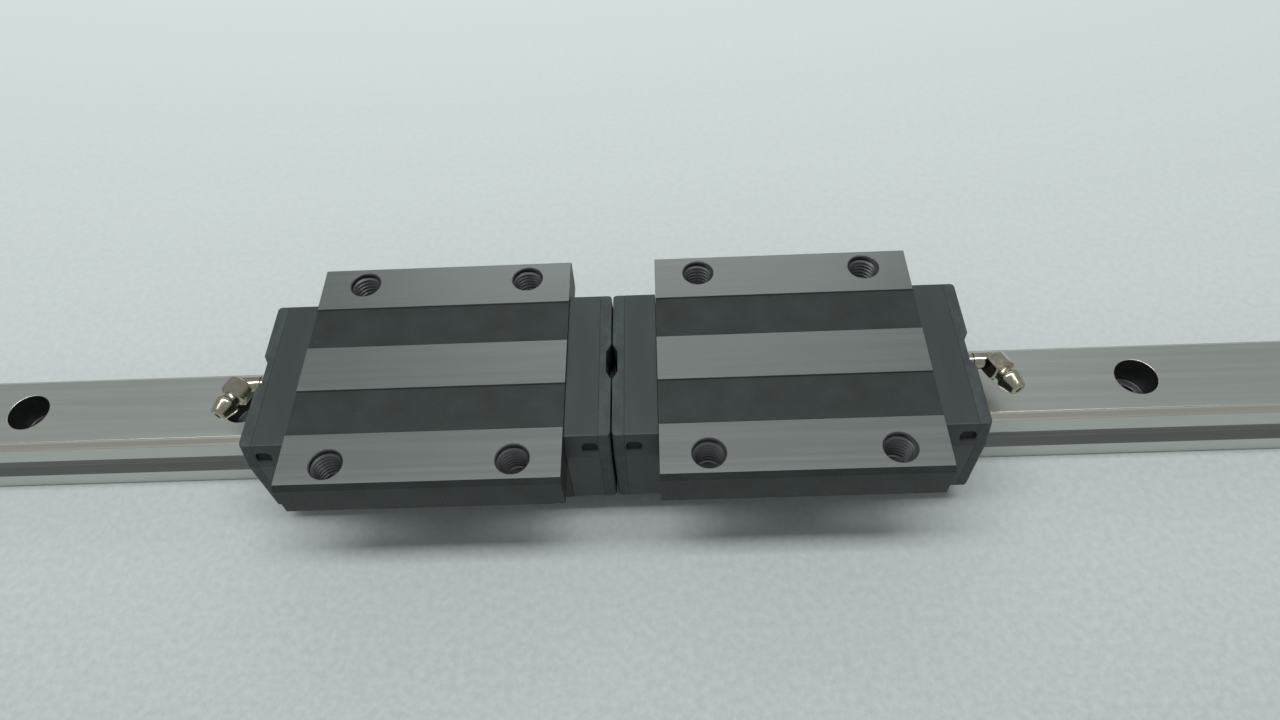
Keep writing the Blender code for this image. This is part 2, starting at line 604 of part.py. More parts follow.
def build_carriage(side, outward, meshes):
    """All the pieces of one carriage; outward is +1 or -1, the way its nipple points along X."""
    centre = bpy.data.objects.new(f"{side}_carriage", None)
    centre.location = ((JUNCTION_X + outward * CARRIAGE_SPACING / 2.0) * MM, 0.0, 0.0)
    bpy.context.scene.collection.objects.link(centre)

    def add(name, shape, slot, location=(0.0, 0.0, 0.0), turn=(0.0, 0.0, 0.0)):
        place(f"{side}_{name}", meshes[shape], slot, centre, location, turn)

    add("block", "block", "block_steel")
    add("upper_ball_retainer", "upper_retainer", "retainer_plastic")

    for row, half_turn in (("back", 0.0), ("front", math.pi)):
        turn = (0.0, 0.0, half_turn)
        add(f"{row}_lower_ball_retainer", "lower_retainer", "retainer_plastic", turn=turn)
        add(f"{row}_bottom_seal", "bottom_seal", "seal_rubber", turn=turn)
        add(f"{row}_upper_ball_row", "upper_balls", "ball_steel", turn=turn)
        add(f"{row}_lower_ball_row", "lower_balls", "ball_steel", turn=turn)

    for end, direction in (("outer", outward), ("inner", -outward)):
        turn = (0.0, 0.0, 0.0 if direction > 0 else math.pi)
        add(f"{end}_end_cap", "end_cap", "cap_plastic", turn=turn)
        add(f"{end}_end_seal", "end_seal", "seal_rubber", turn=turn)
        add(f"{end}_return_plate", "return_plate", "plate_plastic", turn=turn)
        seat = direction * (SEAL_START + SEAL_WEB + GAP)
        for level, (y, z) in SCREW_SPOTS.items():
            for row, sign in (("back", 1.0), ("front", -1.0)):
                add(f"{end}_{row}_{level}_screw", "screw", "screw_steel", (seat, sign * y, z), turn)

    port = (0.0, 0.0, PORT_Z)
    add("port_plug", "plug", "screw_steel", port, (0.0, 0.0, math.pi if outward > 0 else 0.0))
    turn = (0.0, 0.0 if outward > 0 else math.pi, 0.0)
    add("grease_nipple", "nipple", "nipple_nickel", port, turn)
    add("nipple_spring", "check_spring", "spring_steel", port, turn)
    seat = Vector((ELBOW_X, 0.0, 0.0)) + head_axis() * CHECK_BALL_AT
    add("nipple_check_ball", "check_ball", "ball_steel", (outward * seat.x, seat.y, PORT_Z), turn)


def main():
    clear_scene()
    rail = build_rail()
    smooth(rail)
    rail.data.materials.append(material("rail_steel", "rail"))
    meshes = carriage_shapes()
    build_carriage("right", 1.0, meshes)
    build_carriage("left", -1.0, meshes)


main()
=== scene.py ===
import json
import math

import bmesh
import bpy
from mathutils import Matrix, Vector


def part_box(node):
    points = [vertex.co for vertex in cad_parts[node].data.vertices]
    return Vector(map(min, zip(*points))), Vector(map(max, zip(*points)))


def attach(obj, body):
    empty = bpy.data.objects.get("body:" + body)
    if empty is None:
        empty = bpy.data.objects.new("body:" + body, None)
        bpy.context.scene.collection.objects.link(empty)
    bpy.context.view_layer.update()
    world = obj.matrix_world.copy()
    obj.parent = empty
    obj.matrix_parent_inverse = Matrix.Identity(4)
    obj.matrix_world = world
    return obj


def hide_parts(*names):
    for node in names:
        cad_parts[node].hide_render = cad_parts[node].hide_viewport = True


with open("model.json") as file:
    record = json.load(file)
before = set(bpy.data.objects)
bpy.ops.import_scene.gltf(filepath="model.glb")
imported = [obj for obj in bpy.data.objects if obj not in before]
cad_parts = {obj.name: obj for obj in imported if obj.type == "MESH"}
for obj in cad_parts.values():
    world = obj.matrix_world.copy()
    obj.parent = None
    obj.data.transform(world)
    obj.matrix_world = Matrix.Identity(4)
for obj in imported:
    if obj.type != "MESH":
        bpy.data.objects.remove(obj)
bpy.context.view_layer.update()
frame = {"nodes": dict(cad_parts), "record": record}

# Lengths are millimetres in the row's frame: X along the rail, Z up from its underside.
MM = 0.001
GAP = 0.3  # clearance left between neighbouring pieces
OVERCUT = 1.0  # how far a cutter stands out of what it cuts
X_AXIS = (1.0, 0.0, 0.0)
ORIGIN = (0.0, 0.0, 0.0)

# rail section
RAIL_HALF_WIDTH = 11.5
RAIL_HEIGHT = 20.5
WAIST_HALF_WIDTH, WAIST_BOTTOM, FOOT_TOP = 9.8, 8.2, 5.8
HOLE_PITCH, HOLE_COUNT = 60.0, 8
RAIL_HOLE_RADIUS, COUNTERBORE_RADIUS, COUNTERBORE_DEPTH = 3.5, 5.5, 9.0
FOOT_CHAMFER = 0.5
WAIST_LOW, WAIST_HIGH = 5.0, 10.6  # the unground band round the waist

# ball tracks: centres of the loaded and the return rows on the +Y side
BALL_RADIUS, BALL_SPACING = 1.95, 0.03
CHANNEL_RADIUS = 2.3
UPPER_ROWS = ((12.1, 21.0), (17.9, 26.8))
LOWER_ROWS = ((12.1, 10.9), (20.0, 12.6))

# block section
BLOCK_TOP = 36.0
RECESS_DEPTH = 0.4
CENTRE_STRIP, OUTER_STRIP = 6.8, 20.0
FLANGE_HALF_WIDTH, FLANGE_CHAMFER, FLANGE_UNDERSIDE = 35.0, 1.15, 24.3
BODY_HALF_WIDTH, BLOCK_BOTTOM = 24.0, 6.8
LEG_HALF_WIDTH, LEG_TOP, RIB_HALF_WIDTH = 12.5, 8.6, 12.1
STRIP_EDGE, STRIP_BEVEL = 0.12, 0.3
BOLT_X, BOLT_Y = 22.5, 28.5
THREAD_MAJOR, THREAD_MINOR, THREAD_PITCH = 3.95, 3.42, 1.25
BOLT_MOUTH_RADIUS = 4.25

# carriage ends, as distances from the carriage's middle
CAP_START, CAP_END = 34.4, 42.7
CAP_POCKET_END = 37.6
CAP_RAIL_GAP, LIP_RAIL_GAP = 0.9, 0.35
LIP_GROOVE_OUTER, LIP_GROOVE_INNER, LIP_GROOVE_DEPTH = 1.35, 0.85, 0.35
SEAL_START, SEAL_END, SEAL_WEB, SEAL_CORNER = 43.0, 45.7, 0.8, 1.0
SEAL_BACK = CAP_END + 0.06  # the visible seal reaches the cap, across the CAD's clearance
CAP_TOP, CAP_TOP_HALF_WIDTH, CAP_SHOULDER, CAP_BOTTOM = 35.0, 22.2, 28.0, 6.9
CAP_SLOPE = (BODY_HALF_WIDTH - CAP_TOP_HALF_WIDTH) / (CAP_TOP - CAP_SHOULDER)
NOTCH_X, NOTCH_WIDTH, NOTCH_LOW, NOTCH_HIGH, NOTCH_DEPTH = 40.5, 4.0, 29.2, 32.6, 1.0
SCREW_SPOTS = {"upper": (12.8, 29.2), "lower": (19.0, 20.2)}
SCREW_RADIUS, SCREW_HEAD_RADIUS, SCREW_HEAD = 1.5, 2.6, 1.3
SCREW_REACH, SCREW_HOLE_DEPTH = 6.0, 7.0  # thread in the block and the hole for it
HEAD_ROOM = 0.4  # round a screw's head
PORT_Z, PORT_RADIUS, SEAL_PORT_RADIUS = 30.0, 3.1, 3.3
CHANNEL_DEPTH, CHANNEL_BOTTOM, CHANNEL_FLOOR_HALF, CHANNEL_MOUTH_HALF = 1.25, 24.5, 3.2, 5.6

# grease nipple: the stem from the carriage's middle, the head from the elbow
ELBOW_X = 52.0
ELBOW_ANGLE = math.radians(65.0)
STEM_RADIUS, PORT_THREAD_RADIUS = 2.2, 2.75
THREAD_START, THREAD_DEPTH = CAP_POCKET_END + 0.6, 0.3
HEX_START, HEX_END, HEX_RADIUS = -0.4, 4.6, 3.75
NECK_START, NECK_RADIUS, HEAD_RADIUS = 2.0, 2.35, 3.2
BORE_BOTTOM, BORE_RADIUS, MOUTH_RADIUS, HEAD_TIP = 4.9, 1.35, 0.85, 10.5
CHECK_BALL_RADIUS, CHECK_BALL_AT = 1.05, 8.7
SPRING_TURNS, SPRING_RADIUS, SPRING_WIRE = 4.5, 0.92, 0.15

# camera, in metres
CAMERA_AT = (0.02596, -0.13780, 0.22141)
CAMERA_TURN = (0.6364, 0.0441, -0.0090)
CAMERA_LENS, CAMERA_SENSOR = 25.43, 36.0

# lights: place, aim, size in metres, watts and colour
KEY_LIGHT = ((-0.07, -0.02, 1.3), (-0.07, 0.0, 0.0), (1.6, 0.25), 12.5, (0.97, 1.0, 0.98))
BACK_LIGHT = ((0.0, 1.0, 0.95), ORIGIN, (0.9, 0.3), 1.0, (1.0, 1.0, 1.0))
WORLD_COLOUR, WORLD_STRENGTH = (0.93, 1.0, 0.99, 1.0), 0.36

SIDES = (("left", -1.0), ("right", 1.0))
BODY_OF = {node: body for body, nodes in frame["record"]["behaviour"]["bodies"].items() for node in nodes}


def middle_x(node):
    low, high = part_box(node)
    return (low.x + high.x) / 2.0 / MM


CENTRE_X = {side: middle_x(f"{side}_block") for side, _ in SIDES}
BLOCK_HALF_LENGTH = (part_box("left_block")[1].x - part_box("left_block")[0].x) / 2.0 / MM
RAIL_START, RAIL_END = (corner.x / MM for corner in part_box("rail"))


# ---------------------------------------------------------------- materials

class Shader:
    """A node material in short calls. Patterns are placed by the row's own coordinates."""

    def __init__(self, name, roughness, metallic):
        self.material = bpy.data.materials.new(name)
        self.material.use_nodes = True
        self.tree = self.material.node_tree
        self.surface = self.tree.nodes["Principled BSDF"]
        self.surface.inputs["Roughness"].default_value = roughness
        self.surface.inputs["Metallic"].default_value = metallic
        self.place = self.tree.nodes.new("ShaderNodeTexCoord").outputs["Object"]

    def link(self, source, target):
        self.tree.links.new(source, target)

    def noise(self, size, detail=2.0, roughness=0.5, stretch=(1.0, 1.0, 1.0)):
        """Noise whose features are about size mm across, drawn out along an axis by stretch."""
        mapping = self.tree.nodes.new("ShaderNodeMapping")
        mapping.inputs["Scale"].default_value = [1.0 / (size * MM * s) for s in stretch]
        self.link(self.place, mapping.inputs["Vector"])
        texture = self.tree.nodes.new("ShaderNodeTexNoise")
        texture.inputs["Scale"].default_value = 1.0
        texture.inputs["Detail"].default_value = detail
        texture.inputs["Roughness"].default_value = roughness
        self.link(mapping.outputs["Vector"], texture.inputs["Vector"])
        return texture.outputs["Fac"]

    def spread(self, value, low, high, into=(0.0, 1.0)):
        """Map a value from low..high to the range into, clamped."""
        node = self.tree.nodes.new("ShaderNodeMapRange")
        for name, number in zip(("From Min", "From Max", "To Min", "To Max"), (low, high, *into)):
            node.inputs[name].default_value = number
        self.link(value, node.inputs["Value"])
        return node.outputs["Result"]

    def blend(self, factor, first, second):
        """Mix two colours, each a tuple or an output."""
        node = self.tree.nodes.new("ShaderNodeMix")
        node.data_type = "RGBA"
        self.link(factor, node.inputs["Factor"])
        for name, value in (("A", first), ("B", second)):
            socket = [s for s in node.inputs if s.name == name and s.type == "RGBA"][0]
            if isinstance(value, tuple):
                socket.default_value = (*value, 1.0)
            else:
                self.link(value, socket)
        return [s for s in node.outputs if s.type == "RGBA"][0]

    def colour(self, value):
        self.link(value, self.surface.inputs["Base Color"])

    def roughness(self, value):
        self.link(value, self.surface.inputs["Roughness"])

    def bump(self, height, depth, under=None):
        """Raise the surface by height times depth mm, over an earlier bump."""
        node = self.tree.nodes.new("ShaderNodeBump")
        node.inputs["Strength"].default_value = 1.0
        node.inputs["Distance"].default_value = depth * MM
        self.link(height, node.inputs["Height"])
        if under is not None:
            self.link(under, node.inputs["Normal"])
        self.link(node.outputs["Normal"], self.surface.inputs["Normal"])
        return node.outputs["Normal"]


def scaled(colour, factor):
    return tuple(channel * factor for channel in colour)


def ground_steel(name, colour, roughness, along=(60.0, 1.0, 1.0)):
    """Worked steel: fine lines, drawn out along an axis, over faint clouds."""
    shader = Shader(name, roughness, 1.0)
    lines = shader.noise(0.35, 3.0, 0.6, along)
    wide = shader.noise(1.6, 2.0, 0.5, along)
    clouds = shader.noise(14.0, 3.0, 0.5, (2.0, 1.0, 1.0))
    tone = shader.blend(shader.spread(lines, 0.35, 0.65), scaled(colour, 0.95), scaled(colour, 1.04))
    shader.colour(shader.blend(shader.spread(clouds, 0.35, 0.7), scaled(colour, 0.95), tone))
    shader.roughness(shader.spread(wide, 0.3, 0.7, (roughness * 0.92, roughness * 1.08)))
    shader.bump(wide, 0.0012, shader.bump(lines, 0.0012))
    return shader.material


def dark_steel():
    """Unground steel with a black oxide skin: grainy, with a few paler rubs."""
    shader = Shader("dark_steel", 0.5, 0.35)
    base = (0.024, 0.031, 0.030)
    grain = shader.noise(0.45, 4.0, 0.6)
    clouds = shader.noise(9.0, 4.0, 0.6)
    rubs = shader.noise(3.5, 5.0, 0.7, (3.0, 1.0, 1.0))
    tone = shader.blend(shader.spread(clouds, 0.3, 0.7), scaled(base, 0.8), scaled(base, 1.25))
    shader.colour(shader.blend(shader.spread(rubs, 0.6, 0.78, (0.0, 0.5)), tone, scaled(base, 2.2)))
    shader.roughness(shader.spread(grain, 0.3, 0.7, (0.42, 0.6)))
    shader.bump(clouds, 0.03, shader.bump(grain, 0.02))
    return shader.material


def cap_plastic(name, base, dull=0.0):
    """Moulded dark plastic with a fine eroded texture and faint flow clouds."""
    shader = Shader(name, 0.42, 0.0)
    grain = shader.noise(0.22, 2.0, 0.5)
    flow = shader.noise(6.0, 3.0, 0.55, (1.0, 2.5, 1.0))
    shader.colour(shader.blend(shader.spread(flow, 0.3, 0.7), scaled(base, 0.88), scaled(base, 1.14)))
    shader.roughness(shader.spread(grain, 0.3, 0.7, (0.36 + dull, 0.5 + dull)))
    shader.bump(grain, 0.012)
    return shader.material


def seal_rubber():
    """Black wiper rubber, slightly dusty."""
    shader = Shader("seal_rubber", 0.6, 0.0)
    base = (0.029, 0.038, 0.038)
    grain = shader.noise(0.15, 3.0, 0.6)
    dust = shader.noise(4.0, 4.0, 0.65)
    shader.colour(shader.blend(shader.spread(dust, 0.45, 0.75), base, scaled(base, 1.9)))
    shader.roughness(shader.spread(grain, 0.3, 0.7, (0.5, 0.68)))
    shader.bump(grain, 0.008)
    return shader.material


def inner_plastic(name, colour):
    """Natural acetal of the pieces inside, with mould grain and a film of oil."""
    shader = Shader(name, 0.35, 0.0)
    grain = shader.noise(0.3, 2.0, 0.5)
    flow = shader.noise(5.0, 3.0, 0.6)
    shader.colour(shader.blend(shader.spread(flow, 0.3, 0.7), scaled(colour, 0.9), colour))
    shader.roughness(shader.spread(grain, 0.3, 0.7, (0.28, 0.42)))
    shader.bump(grain, 0.006)
    return shader.material


def ball_steel():
    """Lapped ball steel with an oil film and faint smears."""
    shader = Shader("ball_steel", 0.08, 1.0)
    base = (0.62, 0.63, 0.65)
    smears = shader.noise(1.2, 3.0, 0.6)
    shader.colour(shader.blend(shader.spread(smears, 0.4, 0.7), base, scaled(base, 0.85)))
    shader.roughness(shader.spread(smears, 0.3, 0.7, (0.05, 0.14)))
    return shader.material


def screw_steel():
    """Black oxide screws, worn brighter in patches."""
    shader = Shader("screw_steel", 0.35, 1.0)
    base = (0.085, 0.087, 0.092)
    patches = shader.noise(0.9, 4.0, 0.65)
    grain = shader.noise(0.12, 2.0, 0.5)
    shader.colour(shader.blend(shader.spread(patches, 0.55, 0.75), base, scaled(base, 2.4)))
    shader.roughness(shader.spread(patches, 0.3, 0.7, (0.28, 0.44)))
    shader.bump(grain, 0.004)
    return shader.material


def nipple_nickel():
    """Nickel plate on brass: bright, a little yellow, with turning marks and dull spots."""
    shader = Shader("nipple_nickel", 0.2, 1.0)
    base = (0.50, 0.465, 0.37)
    marks = shader.noise(0.16, 2.0, 0.5, (1.0, 1.0, 12.0))
    spots = shader.noise(1.4, 4.0, 0.6)
    tone = shader.blend(shader.spread(spots, 0.3, 0.7), scaled(base, 0.82), base)
    shader.colour(shader.blend(shader.spread(spots, 0.62, 0.72, (0.0, 0.5)), tone, (0.50, 0.37, 0.20)))
    shader.roughness(shader.spread(spots, 0.3, 0.7, (0.13, 0.27)))
    shader.bump(marks, 0.002)
    return shader.material


def spring_steel():
    """Drawn spring wire with lines from the die."""
    shader = Shader("spring_steel", 0.28, 1.0)
    base = (0.50, 0.50, 0.52)
    lines = shader.noise(0.08, 2.0, 0.5)
    shader.colour(shader.blend(shader.spread(lines, 0.3, 0.7), scaled(base, 0.85), base))
    shader.bump(lines, 0.001)
    return shader.material


def floor_paper():
    """Pale matt bench top, painted darker towards the front as shade."""
    shader = Shader("floor_paper", 0.75, 0.0)
    grain = shader.noise(2.0, 4.0, 0.6)
    base = (0.73, 0.775, 0.78)
    depth = shader.tree.nodes.new("ShaderNodeSeparateXYZ")
    shader.link(shader.place, depth.inputs["Vector"])
    # Painted shade: the colour falls to 0.58 of the base towards the front (-Y), standing in for the weaker
    # light there.
    tone = shader.blend(shader.spread(depth.outputs["Y"], -0.12, 0.25), scaled(base, 0.58), base)
    shader.colour(shader.blend(shader.spread(grain, 0.3, 0.7, (0.0, 0.3)), tone, scaled(base, 1.02)))
    shader.bump(grain, 0.005)
    return shader.material


STRIP_STEEL = ground_steel("strip_steel", (0.262, 0.282, 0.274), 0.34)
RAIL_STEEL = ground_steel("rail_steel", (0.58, 0.60, 0.56), 0.30)
# Ground raceway steel; its lighter, warmer colour than the rail top is a painted highlight for the grooves.
TRACK_STEEL_PAINTED_HIGHLIGHT = ground_steel("track_steel_painted_highlight", (0.72, 0.69, 0.61), 0.18)
# Bare worked steel for the holes and threads, its colour kept dark as painted shade for the inside of the
# holes.
BORE_STEEL_PAINTED_SHADE = ground_steel("bore_steel_painted_shade", (0.16, 0.165, 0.17), 0.42, (1.0, 1.0, 6.0))
WAIST_STEEL = ground_steel("waist_steel", (0.23, 0.235, 0.225), 0.45)
DARK_STEEL = dark_steel()
CAP_PLASTIC = cap_plastic("cap_plastic", (0.030, 0.040, 0.039))
# Painted shade: a darker copy of the cap plastic for the faces inside the side notches, standing in for the
# shade in the recess; it is also rougher.
NOTCH_PLASTIC_PAINTED_SHADE = cap_plastic("notch_plastic_painted_shade", (0.022, 0.029, 0.029), 0.4)
SEAL_RUBBER = seal_rubber()
PLATE_PLASTIC = inner_plastic("plate_plastic", (0.55, 0.56, 0.50))
RETAINER_PLASTIC = inner_plastic("retainer_plastic", (0.70, 0.70, 0.64))
BALL_STEEL = ball_steel()
SCREW_STEEL = screw_steel()
NIPPLE_NICKEL = nipple_nickel()
SPRING_STEEL = spring_steel()


# ---------------------------------------------------------------- mesh tools

def as_object(name, bm, material=None):
    """Turn a bmesh in millimetres into an object in metres."""
    bmesh.ops.recalc_face_normals(bm, faces=bm.faces)
    bmesh.ops.scale(bm, vec=(MM, MM, MM), verts=bm.verts)
    mesh = bpy.data.meshes.new(name)
    bm.to_mesh(mesh)
    bm.free()
    if material is not None:
        mesh.materials.append(material)
    obj = bpy.data.objects.new(name, mesh)
    bpy.context.scene.collection.objects.link(obj)
    return obj


def baked(obj):
    """Replace an object's mesh with what its modifiers make of it."""
    graph = bpy.context.evaluated_depsgraph_get()
    result = bpy.data.meshes.new_from_object(obj.evaluated_get(graph))
    result.name = obj.data.name
    obj.modifiers.clear()
    obj.data = result
    return obj


def combine(target, tool, operation="DIFFERENCE"):
    modifier = target.modifiers.new("combine", "BOOLEAN")
    modifier.operation = operation
    modifier.solver = "EXACT"
    modifier.object = tool
    baked(target)
    bpy.data.objects.remove(tool, do_unlink=True)
    return target


def soften(obj, width, segments=2, angle=32.0):
    """Round an object's sharp edges and shade it smooth, with flat faces kept flat."""
    bevel = obj.modifiers.new("bevel", "BEVEL")
    bevel.width = width * MM
    bevel.segments = segments
    bevel.limit_method = "ANGLE"
    bevel.angle_limit = math.radians(angle)
    bevel.use_clamp_overlap = True
    baked(obj)
    obj.data.shade_smooth()
    obj.data.set_sharp_from_angle(angle=math.radians(60.0))
    weighted = obj.modifiers.new("weighted", "WEIGHTED_NORMAL")
    weighted.keep_sharp = True
    weighted.weight = 100
    return baked(obj)


def smooth(obj, degrees=35.0):
    obj.data.shade_smooth()
    obj.data.set_sharp_from_angle(angle=math.radians(degrees))
    return obj


def sweep(bm, lower, upper):
    """Join two equal closed outlines with sides and close both ends."""
    rings = [[bm.verts.new(point) for point in ring] for ring in (lower, upper)]
    count = len(lower)
    for i in range(count):
        j = (i + 1) % count
        bm.faces.new((rings[0][i], rings[0][j], rings[1][j], rings[1][i]))
    bm.faces.new(rings[0][::-1])
    bm.faces.new(rings[1])


def add_prism(bm, outline, start, end):
    """An outline of (y, z) points drawn along X."""
    sweep(bm, [(start, y, z) for y, z in outline], [(end, y, z) for y, z in outline])


def add_walls(bm, rings, closed=False):
    """Quads between rings of vertices; the ends are capped unless the rings form a loop."""
    pairs = list(zip(rings, rings[1:]))
    if closed:
        pairs.append((rings[-1], rings[0]))
    for low, high in pairs:
        for i in range(len(low)):
            j = (i + 1) % len(low)
            bm.faces.new((low[i], low[j], high[j], high[i]))
    if not closed:
        bm.faces.new(rings[0][::-1])
        bm.faces.new(rings[-1])


def circle(radius, centre=(0.0, 0.0), sides=48):
    step = 2.0 * math.pi / sides
    return [(centre[0] + radius * math.cos((i + 0.5) * step),
             centre[1] + radius * math.sin((i + 0.5) * step)) for i in range(sides)]


def arc(centre, radius, first, last, steps):
    """Points on an arc in the YZ plane; angles in degrees from +Y towards +Z."""
    angles = [math.radians(first + (last - first) * i / steps) for i in range(steps + 1)]
    return [(centre[0] + radius * math.cos(a), centre[1] + radius * math.sin(a)) for a in angles]


def add_upright(bm, radii, heights, x, y, sides=48):
    """A stack of rings about a vertical axis: one radius for each height."""
    rings = [[bm.verts.new((px, py, z)) for px, py in circle(r, (x, y), sides)]
             for r, z in zip(radii, heights)]
    add_walls(bm, rings)


def frame_about(axis):
    """Two unit vectors across an axis."""
    axis = Vector(axis).normalized()
    across = axis.orthogonal().normalized()
    return axis, across, axis.cross(across)


def add_turned(bm, profile, origin, axis, sides=48):
    """Turn (distance along the axis, radius) points; the first and last lie on the axis."""
    axis, across, other = frame_about(axis)
    origin = Vector(origin)
    first = bm.verts.new(origin + axis * profile[0][0])
    last = bm.verts.new(origin + axis * profile[-1][0])
    rings = [[bm.verts.new(origin + axis * along + across * cy + other * cz)
              for cy, cz in circle(radius, sides=sides)] for along, radius in profile[1:-1]]
    for low, high in zip(rings, rings[1:]):
        for i in range(sides):
            j = (i + 1) % sides
            bm.faces.new((low[i], low[j], high[j], high[i]))
    for i in range(sides):
        j = (i + 1) % sides
        bm.faces.new((first, rings[0][j], rings[0][i]))
        bm.faces.new((last, rings[-1][i], rings[-1][j]))


def add_thread(bm, origin, axis, start, end, pitch, root, tip, steps=40):
    """A helical ridge of triangular section between two distances along an axis.

    root is the radius of the wall that the ridge grows from and tip is its crest.
    """
    axis, across, other = frame_about(axis)
    origin = Vector(origin)
    turns = (end - start) / pitch
    count = int(turns * steps)
    half = pitch * 0.42
    rings = []
    for i in range(count + 1):
        along = start + (end - start) * i / count
        angle = 2.0 * math.pi * turns * i / count
        fade = min(1.0, i / (steps * 0.5), (count - i) / (steps * 0.5))
        radial = across * math.cos(angle) + other * math.sin(angle)
        crest = root + (tip - root) * max(fade, 0.02)
        inside = root - 0.05 * math.copysign(1.0, tip - root)
        ring = [(inside, -half), (crest, -pitch * 0.06), (crest, pitch * 0.06), (inside, half)]
        rings.append([bm.verts.new(origin + axis * (along + shift) + radial * radius)
                      for radius, shift in ring])
    add_walls(bm, rings)


def stand_for(obj, node):
    """A detailed piece that is shown in place of a CAD node."""
    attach(obj, BODY_OF[node])
    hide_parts(node)
    return obj


# ---------------------------------------------------------------- outlines

def rounded(corners, steps=5):
    """Round the corners of a run of (y, z, radius) points; the run's two ends stay sharp."""
    points = [corners[0][:2]]
    for before, corner, after in zip(corners, corners[1:], corners[2:]):
        radius = corner[2]
        here = Vector(corner[:2])
        back, ahead = Vector(before[:2]) - here, Vector(after[:2]) - here
        if radius <= 0.0:
            points.append(tuple(here))
            continue
        back.normalize()
        ahead.normalize()
        half = back.angle(ahead) / 2.0
        reach = radius / math.tan(half)
        centre = here + (back + ahead).normalized() * (radius / math.sin(half))
        start, end = here + back * reach - centre, here + ahead * reach - centre
        first = math.atan2(start.y, start.x)
        turn = (math.atan2(end.y, end.x) - first + math.pi) % (2.0 * math.pi) - math.pi
        for i in range(steps + 1):
            angle = first + turn * i / steps
            points.append((centre.x + radius * math.cos(angle), centre.y + radius * math.sin(angle)))
    points.append(corners[-1][:2])
    return points


def mirrored(half):
    other = [(-y, z) for y, z in reversed(half) if y > 1e-6]
    return half + other


def rail_side(gap, steps=12):
    """The rail's +Y side from the waist up, grown outwards by a gap."""
    radius = CHANNEL_RADIUS - gap
    to_side = UPPER_ROWS[0][0] - RAIL_HALF_WIDTH - gap
    to_top = UPPER_ROWS[0][1] - RAIL_HEIGHT - gap
    side = math.degrees(math.acos(to_side / radius))
    top = math.degrees(math.asin(to_top / radius))
    lower = arc(LOWER_ROWS[0], radius, 180.0, 180.0 - side, steps)
    upper = arc(UPPER_ROWS[0], radius, 180.0 + side, 180.0 + top, steps)
    return lower + upper


def rail_slant(gap):
    rise = 0.42 * gap
    return [(RAIL_HALF_WIDTH + gap, FOOT_TOP + rise), (WAIST_HALF_WIDTH + gap, WAIST_BOTTOM + rise)]


def rail_outline():
    low, high = rail_slant(0.0)
    foot = rounded([(RAIL_HALF_WIDTH - FOOT_CHAMFER, 0.0, 0.0), (RAIL_HALF_WIDTH, FOOT_CHAMFER, 0.2),
                    (*low, 0.4), (*high, 1.2), (WAIST_HALF_WIDTH, LOWER_ROWS[0][1] - 0.02, 0.0)])
    return mirrored(foot + rail_side(0.0))


def rail_opening(gap, bottom):
    """The +Y half of an opening that clears the rail, from its bottom edge to its top."""
    (low_y, low_z), (high_y, high_z) = rail_slant(gap)
    if bottom < high_z:
        share = (bottom - low_z) / (high_z - low_z)
        start = [(low_y + share * (high_y - low_y), bottom), (high_y, high_z)]
    else:
        start = [(high_y, bottom)]
    return start + rail_side(gap)


def block_outline():
    """Flanged body with its rail channel open at the bottom."""
    recess = BLOCK_TOP - RECESS_DEPTH
    radius = CHANNEL_RADIUS
    outside = rounded([
        (CENTRE_STRIP, BLOCK_TOP, 0.0), (CENTRE_STRIP + STRIP_EDGE, BLOCK_TOP - STRIP_EDGE, 0.0),
        (CENTRE_STRIP + STRIP_BEVEL, recess, 0.0), (OUTER_STRIP - STRIP_BEVEL, recess, 0.0),
        (OUTER_STRIP - STRIP_EDGE, BLOCK_TOP - STRIP_EDGE, 0.0), (OUTER_STRIP, BLOCK_TOP, 0.0),
        (FLANGE_HALF_WIDTH - FLANGE_CHAMFER, BLOCK_TOP, 0.0),
        (FLANGE_HALF_WIDTH, BLOCK_TOP - FLANGE_CHAMFER, 0.5),
        (FLANGE_HALF_WIDTH, FLANGE_UNDERSIDE, 0.8),
        (BODY_HALF_WIDTH, FLANGE_UNDERSIDE, 1.5),
        (BODY_HALF_WIDTH, BLOCK_BOTTOM, 1.2),
        (LEG_HALF_WIDTH, BLOCK_BOTTOM, 0.3), (LEG_HALF_WIDTH, LEG_TOP, 0.0)])
    lower = arc(LOWER_ROWS[0], radius, -80.0, 75.0, 16)
    rib = [(RIB_HALF_WIDTH, lower[-1][1] + 0.5), (RIB_HALF_WIDTH, UPPER_ROWS[0][1] - radius - 0.42)]
    upper = arc(UPPER_ROWS[0], radius, -75.0, 99.0, 18)
    return mirrored(outside + lower[1:] + rib + upper)


def end_outline(opening_gap, inset=0.0):
    """The end cap's and end seal's outline round the rail, with its sides moved in by inset."""
    top, side = CAP_TOP_HALF_WIDTH - inset, BODY_HALF_WIDTH - inset
    outside = rounded([(0.0, CAP_TOP, 0.0), (top, CAP_TOP, 0.4), (side, CAP_SHOULDER, 1.5),
                       (side, CAP_BOTTOM, 1.4), (15.0, CAP_BOTTOM, 0.0)])
    return mirrored(outside + rail_opening(opening_gap, CAP_BOTTOM))


# ---------------------------------------------------------------- rail

def hole_cutter():
    """The rail's counterbored bolt holes."""
    bm = bmesh.new()
    shelf = RAIL_HEIGHT - COUNTERBORE_DEPTH
    for i in range(HOLE_COUNT):
        x = (i - (HOLE_COUNT - 1) / 2.0) * HOLE_PITCH
        radii = (RAIL_HOLE_RADIUS, RAIL_HOLE_RADIUS, COUNTERBORE_RADIUS, COUNTERBORE_RADIUS)
        add_upright(bm, radii, (-OVERCUT, shelf, shelf, RAIL_HEIGHT + OVERCUT), x, 0.0)
    return as_object("rail_holes", bm)


